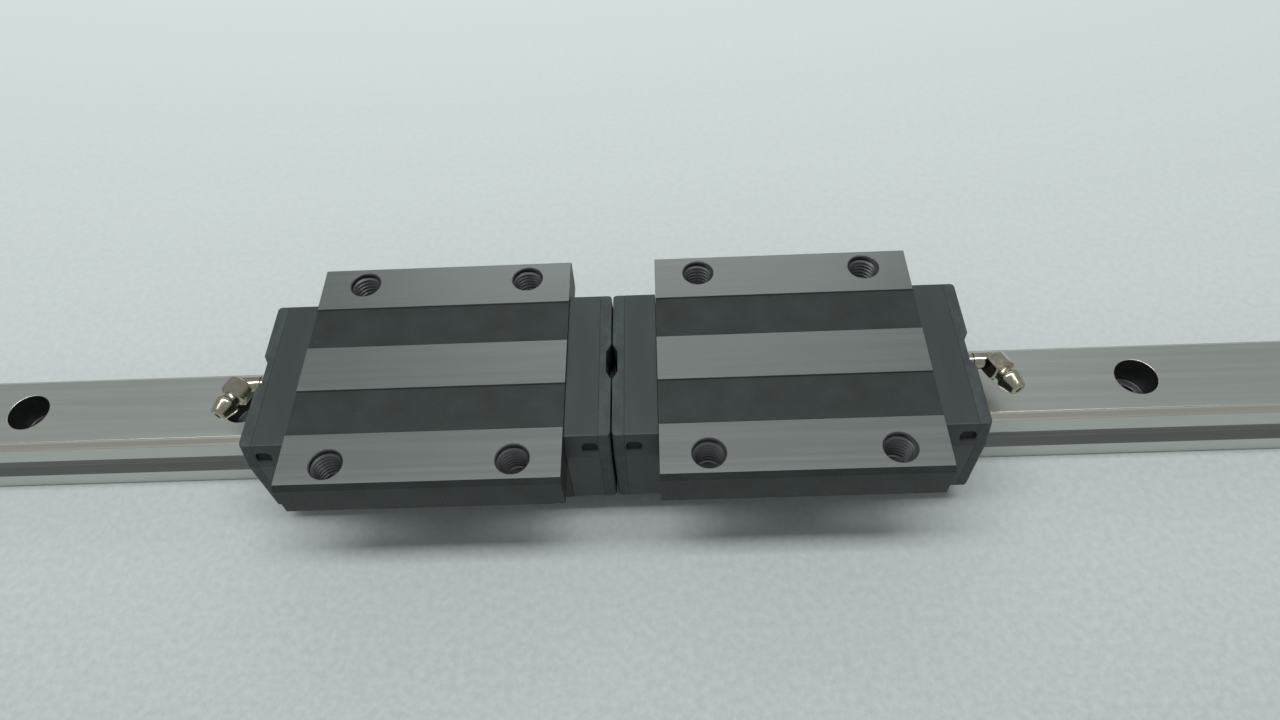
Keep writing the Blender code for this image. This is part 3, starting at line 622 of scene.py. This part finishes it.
def assign(obj, index, test):
    """Give the faces that pass a test another of the object's materials."""
    for face in obj.data.polygons:
        if test(face.center / MM, face.normal):
            face.material_index = index


def in_track(centre):
    """True on the ball grooves of rail and block."""
    for row, _ in (UPPER_ROWS, LOWER_ROWS):
        distance = math.hypot(abs(centre.y) - row[0], centre.z - row[1])
        if distance < CHANNEL_RADIUS + 0.05:
            return True
    return False


def build_rail():
    bm = bmesh.new()
    add_prism(bm, rail_outline(), RAIL_START, RAIL_END)
    rail = as_object("rail_ground", bm, RAIL_STEEL)
    combine(rail, hole_cutter())
    rail.data.materials.clear()
    for material in (RAIL_STEEL, TRACK_STEEL_PAINTED_HIGHLIGHT, BORE_STEEL_PAINTED_SHADE, WAIST_STEEL):
        rail.data.materials.append(material)
    soften(rail, 0.22)
    # The ball grooves take the track steel: ground raceway, partly painted highlight.
    assign(rail, 1, lambda c, n: abs(n.x) < 0.3 and in_track(c))

    def inside_hole(c, n):
        first = -(HOLE_COUNT - 1) / 2.0 * HOLE_PITCH
        x = (c.x - first + HOLE_PITCH / 2.0) % HOLE_PITCH - HOLE_PITCH / 2.0
        return math.hypot(x, c.y) < COUNTERBORE_RADIUS + 0.02 and c.z < RAIL_HEIGHT - 0.15

    def on_waist(c, n):
        band = WAIST_LOW < c.z < WAIST_HIGH and abs(c.y) > 8.0
        return band and abs(n.x) < 0.3 and not in_track(c)

    # Inside the counterbores the rail takes the dark bore steel: painted shade in the holes.
    assign(rail, 2, inside_hole)
    assign(rail, 3, on_waist)
    return stand_for(rail, "rail")


# ---------------------------------------------------------------- carriage

def track_rings(bm, loaded, back, radius, sides, steps=12):
    """A closed ball track about the origin: two straight rows and a half turn at each end."""
    loaded, back = Vector((0.0, *loaded)), Vector((0.0, *back))
    middle = (loaded + back) / 2.0
    outward = back - middle
    turn = outward.length
    outward.normalize()
    normal = Vector(X_AXIS).cross(outward)
    rings = []
    for end in (1.0, -1.0):
        for i in range(steps + 1):
            angle = math.pi * (i / steps - 0.5) * end
            radial = Vector((end * math.cos(angle), 0.0, 0.0)) + outward * math.sin(angle)
            centre = middle + Vector((end * BLOCK_HALF_LENGTH, 0.0, 0.0)) + radial * turn
            rings.append([bm.verts.new(centre + radial * cy + normal * cz)
                          for cy, cz in circle(radius, sides=sides)])
    add_walls(bm, rings, closed=True)


def build_block_shape():
    bm = bmesh.new()
    add_prism(bm, block_outline(), -BLOCK_HALF_LENGTH, BLOCK_HALF_LENGTH)
    block = as_object("block", bm, DARK_STEEL)
    cutter = bmesh.new()
    mouth = BOLT_MOUTH_RADIUS - THREAD_MAJOR
    for x in (-BOLT_X, BOLT_X):
        for y in (-BOLT_Y, BOLT_Y):
            wide = BOLT_MOUTH_RADIUS + OVERCUT
            radii = (wide, THREAD_MAJOR, THREAD_MAJOR, wide)
            heights = (FLANGE_UNDERSIDE - OVERCUT, FLANGE_UNDERSIDE + mouth,
                       BLOCK_TOP - mouth, BLOCK_TOP + OVERCUT)
            add_upright(cutter, radii, heights, x, y)
    for side in (-1.0, 1.0):
        for _, (y, z) in (UPPER_ROWS, LOWER_ROWS):
            add_prism(cutter, circle(CHANNEL_RADIUS, (side * y, z), 24),
                      -BLOCK_HALF_LENGTH - OVERCUT, BLOCK_HALF_LENGTH + OVERCUT)
        for y, z in SCREW_SPOTS.values():
            for end in (-1.0, 1.0):
                add_prism(cutter, circle(SCREW_RADIUS + GAP, (side * y, z), 20),
                          end * (BLOCK_HALF_LENGTH - SCREW_HOLE_DEPTH), end * (BLOCK_HALF_LENGTH + OVERCUT))
    combine(block, as_object("block_holes", cutter))
    block.data.materials.clear()
    for material in (DARK_STEEL, STRIP_STEEL, TRACK_STEEL_PAINTED_HIGHLIGHT, BORE_STEEL_PAINTED_SHADE):
        block.data.materials.append(material)
    soften(block, 0.14)
    assign(block, 1, lambda c, n: c.z > BLOCK_TOP - 0.06 and n.z > 0.995)
    assign(block, 2, lambda c, n: abs(n.x) < 0.3 and in_track(c))

    def in_bolt_hole(c, n):
        return math.hypot(abs(c.x) - BOLT_X, abs(c.y) - BOLT_Y) < BOLT_MOUTH_RADIUS + 0.1 and n.z < 0.95

    # The bolt holes take the dark bore steel: bare tapped steel, darkened as painted shade inside the
    # holes.
    assign(block, 3, in_bolt_hole)
    return block


def build_thread_shape():
    """The four tapped threads of one block."""
    bm = bmesh.new()
    for x in (-BOLT_X, BOLT_X):
        for y in (-BOLT_Y, BOLT_Y):
            add_thread(bm, (x, y, 0.0), (0.0, 0.0, 1.0), FLANGE_UNDERSIDE + 0.7, BLOCK_TOP - 0.7,
                       THREAD_PITCH, THREAD_MAJOR, THREAD_MINOR)
    return smooth(as_object("threads", bm, BORE_STEEL_PAINTED_SHADE), 30.0)


def turn_channels():
    bm = bmesh.new()
    for side in (-1.0, 1.0):
        for rows in (UPPER_ROWS, LOWER_ROWS):
            track_rings(bm, *[(side * y, z) for y, z in rows], CHANNEL_RADIUS, 16, 8)
    return as_object("turn_channels", bm)


def screw_holes(start, end, radius):
    bm = bmesh.new()
    for side in (-1.0, 1.0):
        for y, z in SCREW_SPOTS.values():
            add_prism(bm, circle(radius, (side * y, z), 28), start, end)
    return as_object("screw_holes", bm)


def port_hole(start, end, radius):
    bm = bmesh.new()
    add_prism(bm, circle(radius, (0.0, PORT_Z), 36), start, end)
    return as_object("port_hole", bm)


def shoulder_at(z):
    """Half width of a cap on its slanting shoulder."""
    return BODY_HALF_WIDTH - CAP_SLOPE * (z - CAP_SHOULDER)


def side_notches():
    """A shallow rectangular notch with rounded corners in each slanting shoulder."""
    bm = bmesh.new()
    low, high = NOTCH_X - NOTCH_WIDTH / 2.0, NOTCH_X + NOTCH_WIDTH / 2.0
    middle = (NOTCH_LOW + NOTCH_HIGH) / 2.0
    corners = rounded([(low, middle, 0.0), (low, NOTCH_HIGH, 1.2), (high, NOTCH_HIGH, 1.2),
                       (high, NOTCH_LOW, 1.2), (low, NOTCH_LOW, 1.2), (low, middle, 0.0)])[:-1]
    for side in (-1.0, 1.0):
        inner = [(x, side * (shoulder_at(z) - NOTCH_DEPTH), z) for x, z in corners]
        outer = [(x, side * (shoulder_at(z) + 0.3), z) for x, z in corners]
        sweep(bm, inner, outer)
    return as_object("side_notches", bm)


def pocket():
    """The space for the return plate on a cap's inner face."""
    bm = bmesh.new()
    top, bottom = 32.7, 7.6
    half = rounded([(0.0, top, 0.0), (21.2, top, 1.0), (23.2, 27.1, 1.0), (23.2, bottom, 0.8),
                    (0.0, bottom, 0.0)])
    add_prism(bm, half + [(-y, z) for y, z in half[-2:0:-1]], CAP_START - OVERCUT, CAP_POCKET_END)
    return as_object("pocket", bm)


def build_cap_shape():
    bm = bmesh.new()
    add_prism(bm, end_outline(CAP_RAIL_GAP), CAP_START, CAP_END)
    cap = as_object("end_cap", bm, CAP_PLASTIC)
    combine(cap, pocket())
    combine(cap, turn_channels())
    combine(cap, screw_holes(CAP_START - OVERCUT, CAP_END + OVERCUT, SCREW_RADIUS + GAP))
    combine(cap, port_hole(CAP_START, CAP_END + OVERCUT, PORT_RADIUS))
    combine(cap, side_notches())
    cap.data.materials.clear()
    for material in (CAP_PLASTIC, NOTCH_PLASTIC_PAINTED_SHADE):
        cap.data.materials.append(material)
    soften(cap, 0.12)

    def in_notch(c, n):
        depth = shoulder_at(c.z) - abs(c.y)
        inside = abs(c.x - NOTCH_X) < NOTCH_WIDTH / 2.0 and NOTCH_LOW < c.z < NOTCH_HIGH
        return inside and 0.14 < depth < NOTCH_DEPTH + 0.1

    # The notch faces take the darker plastic: painted shade in the recess.
    assign(cap, 1, in_notch)
    return cap


def lip_groove():
    """Shallow groove round the opening, which sets off the wiper lip."""
    bm = bmesh.new()
    outer = rail_opening(LIP_GROOVE_OUTER, CAP_BOTTOM - OVERCUT)
    inner = rail_opening(LIP_GROOVE_INNER, CAP_BOTTOM - OVERCUT)
    add_prism(bm, mirrored(outer), SEAL_END - LIP_GROOVE_DEPTH, SEAL_END + OVERCUT)
    groove = as_object("lip_groove", bm)
    keep = bmesh.new()
    add_prism(keep, mirrored(inner), SEAL_END - OVERCUT, SEAL_END + 2.0 * OVERCUT)
    return combine(groove, as_object("lip", keep))


def seal_channel():
    """Slant-sided channel down the seal's face, where the nipple comes out."""
    bm = bmesh.new()
    floor, mouth = SEAL_END - CHANNEL_DEPTH, SEAL_END + 0.1
    outline = [(floor, -CHANNEL_FLOOR_HALF), (mouth, -CHANNEL_MOUTH_HALF),
               (mouth, CHANNEL_MOUTH_HALF), (floor, CHANNEL_FLOOR_HALF)]
    sweep(bm, *[[(x, y, z) for x, y in outline] for z in (CHANNEL_BOTTOM, CAP_TOP + OVERCUT)])
    return as_object("seal_channel", bm)


def build_seal_shape():
    bm = bmesh.new()
    turns = [math.pi / 2.0 * i / 4 for i in range(5)]
    sections = [(SEAL_BACK, 0.0)] + [
        (SEAL_END - SEAL_CORNER * (1.0 - math.sin(a)), SEAL_CORNER * (1.0 - math.cos(a))) for a in turns]
    add_walls(bm, [[bm.verts.new((x, y, z)) for y, z in end_outline(LIP_RAIL_GAP, inset)]
                   for x, inset in sections])
    seal = as_object("end_seal", bm, SEAL_RUBBER)
    past = SEAL_END + OVERCUT
    combine(seal, screw_holes(SEAL_START - OVERCUT, past, SCREW_RADIUS + GAP))
    combine(seal, screw_holes(SEAL_START + SEAL_WEB, past, SCREW_HEAD_RADIUS + HEAD_ROOM))
    combine(seal, port_hole(SEAL_START - OVERCUT, past, SEAL_PORT_RADIUS))
    combine(seal, seal_channel())
    combine(seal, lip_groove())
    return soften(seal, 0.12)


def build_bottom_seal_shape():
    foot, top = 5.9, BLOCK_BOTTOM - GAP
    outline = [(11.62, foot), (12.1, 6.05), (12.6, foot), (15.2, foot), (15.6, 6.0),
               (15.6, top), (12.0, top), (11.62, 6.3)]
    bm = bmesh.new()
    add_prism(bm, outline, -CAP_END, CAP_END)
    return soften(as_object("bottom_seal", bm, SEAL_RUBBER), 0.06)


def build_ball_shape(rows):
    """The circuit's balls, one after another round the track."""
    loaded, back = Vector((0.0, *rows[0])), Vector((0.0, *rows[1]))
    middle = (loaded + back) / 2.0
    outward = back - middle
    turn = outward.length
    outward.normalize()
    straight = 2.0 * BLOCK_HALF_LENGTH
    length = 2.0 * straight + 2.0 * math.pi * turn
    count = int(length / (2.0 * BALL_RADIUS + BALL_SPACING))
    ball = bmesh.new()
    for i in range(count):
        along = length * i / count
        end = 1.0 if along < length / 2.0 else -1.0
        along %= length / 2.0
        if along < straight:
            centre = middle + outward * (end * turn) + Vector((end * (BLOCK_HALF_LENGTH - along), 0.0, 0.0))
        else:
            angle = (along - straight) / turn
            centre = (middle + Vector((-end * (BLOCK_HALF_LENGTH + turn * math.sin(angle)), 0.0, 0.0))
                      + outward * (end * turn * math.cos(angle)))
        made = bmesh.ops.create_icosphere(ball, subdivisions=3, radius=BALL_RADIUS)
        bmesh.ops.translate(ball, vec=centre, verts=made["verts"])
    return smooth(as_object("balls", ball, BALL_STEEL), 180.0)


def build_screw_shape():
    """Pan-head screw with a cross recess; X = 0 is under its head."""
    length = SEAL_START + SEAL_WEB + GAP - (BLOCK_HALF_LENGTH - SCREW_REACH)
    bm = bmesh.new()
    core = SCREW_RADIUS - 0.28
    head = [(SCREW_HEAD * math.sin(a), SCREW_HEAD_RADIUS - 0.9 * (1.0 - math.cos(a)))
            for a in (math.radians(d) for d in (0, 20, 40, 60, 80))]
    profile = [(-length, 0.0), (-length, core - 0.3), (-length + 0.4, core), (-0.6, core),
               (-0.4, SCREW_RADIUS), (0.0, SCREW_RADIUS), (0.0, SCREW_HEAD_RADIUS - 0.1),
               (0.1, SCREW_HEAD_RADIUS)]
    profile += [(max(along, 0.15), radius) for along, radius in head[1:]]
    profile += [(SCREW_HEAD, 1.2), (SCREW_HEAD, 0.0)]
    add_turned(bm, profile, ORIGIN, X_AXIS, 36)
    screw = as_object("screw", bm, SCREW_STEEL)
    for turn in (0.0, math.pi / 2.0):
        slot = bmesh.new()
        sections = ((SCREW_HEAD - 0.95, 0.45, 0.2), (SCREW_HEAD + 0.1, 1.45, 0.32))
        base, near = [[(x, y, z) for y, z in ((-a, -b), (a, -b), (a, b), (-a, b))]
                      for x, a, b in sections]
        sweep(slot, base, near)
        bmesh.ops.rotate(slot, verts=slot.verts, cent=ORIGIN, matrix=Matrix.Rotation(turn, 3, "X"))
        combine(screw, as_object("slot", slot))
    smooth(screw, 32.0)
    thread = bmesh.new()
    add_thread(thread, ORIGIN, X_AXIS, -length + 0.3, -0.7, 0.5, core, SCREW_RADIUS, 20)
    return joined(screw, smooth(as_object("thread", thread, SCREW_STEEL)))


def joined(target, *others):
    """Join other objects' meshes into the target's."""
    bm = bmesh.new()
    for obj in (target, *others):
        bm.from_mesh(obj.data)
    for obj in others:
        bpy.data.objects.remove(obj, do_unlink=True)
    bm.to_mesh(target.data)
    bm.free()
    return target


def build_plug_shape():
    """Blanking screw with a hexagon socket."""
    start = THREAD_START
    core = PORT_THREAD_RADIUS - THREAD_DEPTH
    bm = bmesh.new()
    profile = [(start, 0.0), (start, core - 0.4), (start + 0.4, core), (CAP_END - 0.4, core),
               (CAP_END, core - 0.4), (CAP_END, 0.0)]
    add_turned(bm, profile, ORIGIN, X_AXIS, 36)
    plug = as_object("plug", bm, SCREW_STEEL)
    socket = bmesh.new()
    add_prism(socket, circle(1.7, sides=6), CAP_END - 2.0, CAP_END + OVERCUT)
    combine(plug, as_object("socket", socket))
    smooth(plug, 32.0)
    thread = bmesh.new()
    add_thread(thread, ORIGIN, X_AXIS, start + 0.3, CAP_END - 0.3, 1.0, core, PORT_THREAD_RADIUS, 32)
    return joined(plug, smooth(as_object("thread", thread, SCREW_STEEL)))


# ---------------------------------------------------------------- grease nipple

def head_axis():
    return Vector((math.cos(ELBOW_ANGLE), -math.sin(ELBOW_ANGLE), 0.0))


def build_nipple_shape():
    """Elbow nipple: stem, hexagon knuckle and hydraulic head with its bore."""
    elbow = (ELBOW_X, 0.0, 0.0)
    hexagon = bmesh.new()
    corner = HEX_RADIUS
    add_turned(hexagon, [(HEX_START, 0.0), (HEX_START, corner), (HEX_END, corner), (HEX_END, 0.0)],
               elbow, head_axis(), 6)
    nipple = as_object("nipple", hexagon, NIPPLE_NICKEL)
    chamfer = bmesh.new()
    profile = [(HEX_START, 0.0), (HEX_START, corner - 0.9), (HEX_START + 0.5, corner - 0.25),
               (HEX_START + 0.9, corner + 0.1), (HEX_END - 0.9, corner + 0.1),
               (HEX_END - 0.5, corner - 0.25), (HEX_END, corner - 0.9), (HEX_END, 0.0)]
    add_turned(chamfer, profile, elbow, head_axis())
    combine(nipple, as_object("chamfer", chamfer), "INTERSECT")
    stem = bmesh.new()
    start = THREAD_START
    profile = [(start, 0.0), (start, PORT_THREAD_RADIUS - 0.4), (start + 0.4, PORT_THREAD_RADIUS),
               (CAP_END - 0.3, PORT_THREAD_RADIUS), (CAP_END, STEM_RADIUS - 0.2),
               (SEAL_END + 1.0, STEM_RADIUS - 0.2), (SEAL_END + 1.2, STEM_RADIUS), (ELBOW_X, STEM_RADIUS),
               (ELBOW_X, 0.0)]
    add_turned(stem, profile, ORIGIN, X_AXIS)
    combine(nipple, as_object("stem", stem), "UNION")
    head = bmesh.new()
    neck = HEX_END + 1.0
    flare = [(neck + 0.2 * i, NECK_RADIUS + 0.8 * math.sin(i / 4 * math.pi / 2.0)) for i in range(1, 5)]
    profile = [(NECK_START, 0.0), (NECK_START, NECK_RADIUS), (neck, NECK_RADIUS), *flare,
               (neck + 1.2, HEAD_RADIUS), (neck + 1.6, HEAD_RADIUS - 0.1), (HEAD_TIP - 0.9, 2.3),
               (HEAD_TIP - 0.3, 2.0), (HEAD_TIP - 0.1, 1.85), (HEAD_TIP, 1.6),
               (HEAD_TIP, MOUTH_RADIUS + 0.1), (HEAD_TIP - 0.15, MOUTH_RADIUS),
               (HEAD_TIP - 0.6, MOUTH_RADIUS), (HEAD_TIP - 0.6, BORE_RADIUS),
               (BORE_BOTTOM, BORE_RADIUS), (BORE_BOTTOM, 0.0)]
    add_turned(head, profile, elbow, head_axis())
    combine(nipple, as_object("head", head), "UNION")
    return soften(nipple, 0.1, 2, 30.0)


def build_check_ball_shape():
    bm = bmesh.new()
    bmesh.ops.create_icosphere(bm, subdivisions=4, radius=CHECK_BALL_RADIUS)
    return smooth(as_object("check_ball", bm, BALL_STEEL), 180.0)


def build_spring_shape():
    """Coil spring with its end coils closed up."""
    axis, across, other = frame_about(head_axis())
    start, end = BORE_BOTTOM + 0.35, CHECK_BALL_AT - 1.6
    bm = bmesh.new()
    steps = int(SPRING_TURNS * 24)
    rings = []
    for i in range(steps + 1):
        share = i / steps
        eased = share - 0.1 * math.sin(2.0 * math.pi * share)
        angle = 2.0 * math.pi * SPRING_TURNS * share
        radial = across * math.cos(angle) + other * math.sin(angle)
        centre = (Vector((ELBOW_X, 0.0, 0.0)) + axis * (start + (end - start) * eased)
                  + radial * SPRING_RADIUS)
        rings.append([bm.verts.new(centre + radial * cy + axis * cz)
                      for cy, cz in circle(SPRING_WIRE, sides=8)])
    add_walls(bm, rings)
    return smooth(as_object("check_spring", bm, SPRING_STEEL), 60.0)


# ---------------------------------------------------------------- placing

def carriage_shapes():
    builders = {
        "block": build_block_shape, "threads": build_thread_shape, "end_cap": build_cap_shape,
        "end_seal": build_seal_shape, "bottom_seal": build_bottom_seal_shape,
        "upper_ball_row": lambda: build_ball_shape(UPPER_ROWS),
        "lower_ball_row": lambda: build_ball_shape(LOWER_ROWS),
        "screw": build_screw_shape, "port_plug": build_plug_shape, "grease_nipple": build_nipple_shape,
        "check_ball": build_check_ball_shape, "spring": build_spring_shape,
    }
    meshes = {}
    for name, builder in builders.items():
        obj = builder()
        meshes[name] = obj.data
        bpy.data.objects.remove(obj, do_unlink=True)
    return meshes


def place(node, mesh, location, turn=(0.0, 0.0, 0.0)):
    """A detailed piece in the row's frame, standing for the CAD node of that name."""
    obj = bpy.data.objects.new(f"{node}_detail", mesh)
    obj.location = [value * MM for value in location]
    obj.rotation_euler = turn
    bpy.context.scene.collection.objects.link(obj)
    return stand_for(obj, node)


def dress_carriage(side, outward, meshes):
    centre = CENTRE_X[side]
    here = (centre, 0.0, 0.0)
    place(f"{side}_block", meshes["block"], here)
    threads = bpy.data.objects.new(f"{side}_block_threads", meshes["threads"])
    threads.location = (centre * MM, 0.0, 0.0)
    bpy.context.scene.collection.objects.link(threads)
    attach(threads, BODY_OF[f"{side}_block"])
    for row, half_turn in (("back", 0.0), ("front", math.pi)):
        for piece in ("bottom_seal", "upper_ball_row", "lower_ball_row"):
            place(f"{side}_{row}_{piece}", meshes[piece], here, (0.0, 0.0, half_turn))
    for end, direction in (("outer", outward), ("inner", -outward)):
        turn = (0.0, 0.0, 0.0 if direction > 0 else math.pi)
        place(f"{side}_{end}_end_cap", meshes["end_cap"], here, turn)
        place(f"{side}_{end}_end_seal", meshes["end_seal"], here, turn)
        seat = centre + direction * (SEAL_START + SEAL_WEB + GAP)
        for level, (y, z) in SCREW_SPOTS.items():
            for row, sign in (("back", 1.0), ("front", -1.0)):
                place(f"{side}_{end}_{row}_{level}_screw", meshes["screw"], (seat, sign * y, z), turn)
    port = (centre, 0.0, PORT_Z)
    place(f"{side}_port_plug", meshes["port_plug"], port, (0.0, 0.0, math.pi if outward > 0 else 0.0))
    turn = (0.0, 0.0 if outward > 0 else math.pi, 0.0)
    place(f"{side}_grease_nipple", meshes["grease_nipple"], port, turn)
    place(f"{side}_nipple_spring", meshes["spring"], port, turn)
    seat = Vector((ELBOW_X, 0.0, 0.0)) + head_axis() * CHECK_BALL_AT
    seat = (centre + outward * seat.x, seat.y, PORT_Z)
    place(f"{side}_nipple_check_ball", meshes["check_ball"], seat, turn)


def dress_kept_nodes():
    """Better materials on the CAD nodes whose shape is already right."""
    for name, node in frame["nodes"].items():
        for word, material in (("return_plate", PLATE_PLASTIC), ("ball_retainer", RETAINER_PLASTIC)):
            if word in name:
                node.data.materials.clear()
                node.data.materials.append(material)


# ---------------------------------------------------------------- stage

def build_floor():
    bm = bmesh.new()
    bmesh.ops.create_grid(bm, x_segments=1, y_segments=1, size=3000.0)
    floor = as_object("floor", bm, floor_paper())


def area_light(name, location, target, size, power, colour):
    light = bpy.data.lights.new(name, "AREA")
    light.shape = "RECTANGLE"
    light.size, light.size_y = size
    light.energy = power
    light.color = colour
    obj = bpy.data.objects.new(name, light)
    obj.location = location
    obj.rotation_euler = (Vector(target) - Vector(location)).to_track_quat("-Z", "Y").to_euler()
    bpy.context.scene.collection.objects.link(obj)


def build_light():
    world = bpy.data.worlds.new("studio")
    world.use_nodes = True
    background = world.node_tree.nodes["Background"]
    background.inputs["Color"].default_value = WORLD_COLOUR
    background.inputs["Strength"].default_value = WORLD_STRENGTH
    bpy.context.scene.world = world
    area_light("key", *KEY_LIGHT)
    area_light("back", *BACK_LIGHT)
    bpy.context.scene.view_settings.view_transform = "Standard"


def build_camera():
    data = bpy.data.cameras.new("camera")
    data.sensor_width = CAMERA_SENSOR
    data.lens = CAMERA_LENS
    data.clip_start = 0.01
    camera = bpy.data.objects.new("camera", data)
    camera.location = CAMERA_AT
    camera.rotation_euler = CAMERA_TURN
    bpy.context.scene.collection.objects.link(camera)
    bpy.context.scene.camera = camera


build_camera()
build_floor()
build_light()
build_rail()
shapes = carriage_shapes()
for side_name, side_outward in SIDES:
    dress_carriage(side_name, side_outward, shapes)
dress_kept_nodes()
